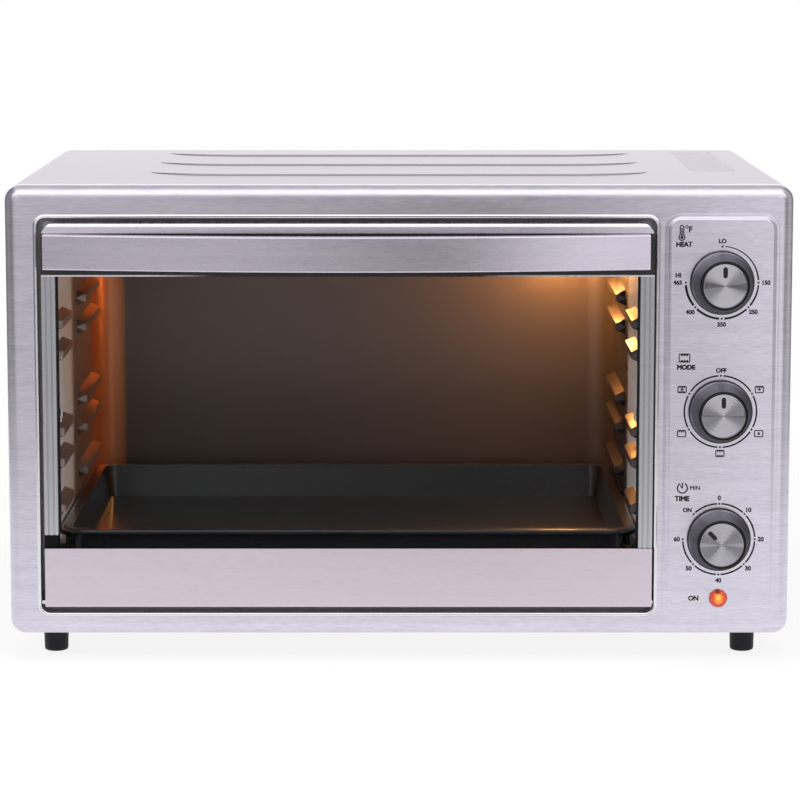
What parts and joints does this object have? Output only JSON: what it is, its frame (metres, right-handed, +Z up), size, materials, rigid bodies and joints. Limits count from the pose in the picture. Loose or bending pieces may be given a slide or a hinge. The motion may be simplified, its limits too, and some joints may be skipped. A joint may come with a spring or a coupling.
{
  "type": "countertop convection oven",
  "caption": "Countertop convection oven in brushed steel with a drop-down glass door, bowed handle, rack guides, baking tray, fan and a control island with rotary knobs and a power lamp",
  "frame": {"origin": "on the worktop under the middle of the part's bounding box", "axes": "+X to the right seen from the front, +Y to the back, +Z up; the door and the knobs face -Y"},
  "size_m": [0.555, 0.414, 0.3389],
  "materials": {
    "stainless": "horizontally brushed",
    "housing": "satin sheet",
    "liner": "aluminised sheet",
    "heater": "dark heat-tinted tube",
    "enamel": "black enamel",
    "ceramic": "stands for fired ceramic",
    "door_frame": "brushed",
    "channel": "extruded, ribbed",
    "pane": "clear tempered",
    "lamp_glass": "clear, warm",
    "jewel": "red jewel",
    "knob": "satin dark grey",
    "cap": "spun",
    "steel_small": "bright",
    "black_plastic": "moulded",
    "foot": "moulded",
    "brass": "turned",
    "motor": "laminated core"
  },
  "bodies": {
    "oven_body": {"fascia": "stainless", "top_cover": "housing", "left_side_panel": "housing", "right_side_panel": "housing", "back_panel": "housing", "base_plate": "housing", "feet": "foot", "base_screws": "steel_small", "back_screws": "steel_small", "cord_inlet": "black_plastic", "left_liner": "liner", "right_liner": "liner", "back_liner": "liner", "ceiling_liner": "liner", "floor_liner": "liner", "upper_heater_front": "heater", "upper_heater_rear": "heater", "lower_heater_front": "heater", "lower_heater_rear": "heater", "heater_insulators": "ceramic", "crumb_tray": "liner", "lamp_lens": "lamp_glass", "lamp_bulb": "lamp_glass", "lamp_socket": "ceramic", "fan_shroud": "liner", "fan_motor": "motor", "thermostat": "ceramic", "function_switch": "black_plastic", "timer": "ceramic", "control_nuts": "brass", "power_lamp_lens": "jewel", "power_lamp_holder": "ceramic", "hinge_bracket_left": "liner", "hinge_bracket_right": "liner"},
    "door": {"hinge_pins": "steel_small", "hinge_block_left": "black_plastic", "hinge_block_right": "black_plastic", "door_glass": "pane", "door_top_rail": "door_frame", "door_handle": "door_frame", "handle_screws": "steel_small", "door_channel_left": "channel", "door_channel_right": "channel", "door_bottom_strip": "stainless", "rack_hooks": "steel_small"},
    "temperature_control": {"temperature_knob": "knob", "temperature_cap": "cap", "temperature_shaft": "steel_small"},
    "function_control": {"function_knob": "knob", "function_cap": "cap", "function_shaft": "steel_small"},
    "timer_control": {"timer_knob": "knob", "timer_cap": "cap", "timer_shaft": "steel_small"},
    "fan": {"fan_wheel": "channel", "fan_shaft": "steel_small"},
    "tray": {"baking_tray": "enamel"}
  },
  "joints": [
    {"name": "door_hinge", "type": "hinge", "parent": "oven_body", "child": "door", "pos_m": [-0.036, -0.1756, 0.0429], "axis": [1, 0, 0], "range_deg": [0, 90], "stiffness_Nm_per_rad": 0.4, "springref_deg": -34.38},
    {"name": "temperature_turn", "type": "hinge", "parent": "oven_body", "child": "temperature_control", "pos_m": [0.225, -0.181, 0.2705], "axis": [0, 1, 0], "range_deg": [0, 270]},
    {"name": "function_turn", "type": "hinge", "parent": "oven_body", "child": "function_control", "pos_m": [0.225, -0.181, 0.1798], "axis": [0, 1, 0], "range_deg": [0, 300]},
    {"name": "timer_turn", "type": "hinge", "parent": "oven_body", "child": "timer_control", "pos_m": [0.225, -0.181, 0.0891], "axis": [0, 1, 0], "range_deg": [0, 315]},
    {"name": "fan_spin", "type": "hinge", "parent": "oven_body", "child": "fan", "pos_m": [0.18, -0.034, 0.2], "axis": [1, 0, 0], "continuous": true},
    {"name": "tray_slide", "type": "slide", "parent": "oven_body", "child": "tray", "axis": [0, -1, 0], "range_m": [0, 0.0755]}
  ],
  "couplings": [
    {"joint": "tray_slide", "follows": "door_hinge", "m_per_rad": 0.048}
  ]
}
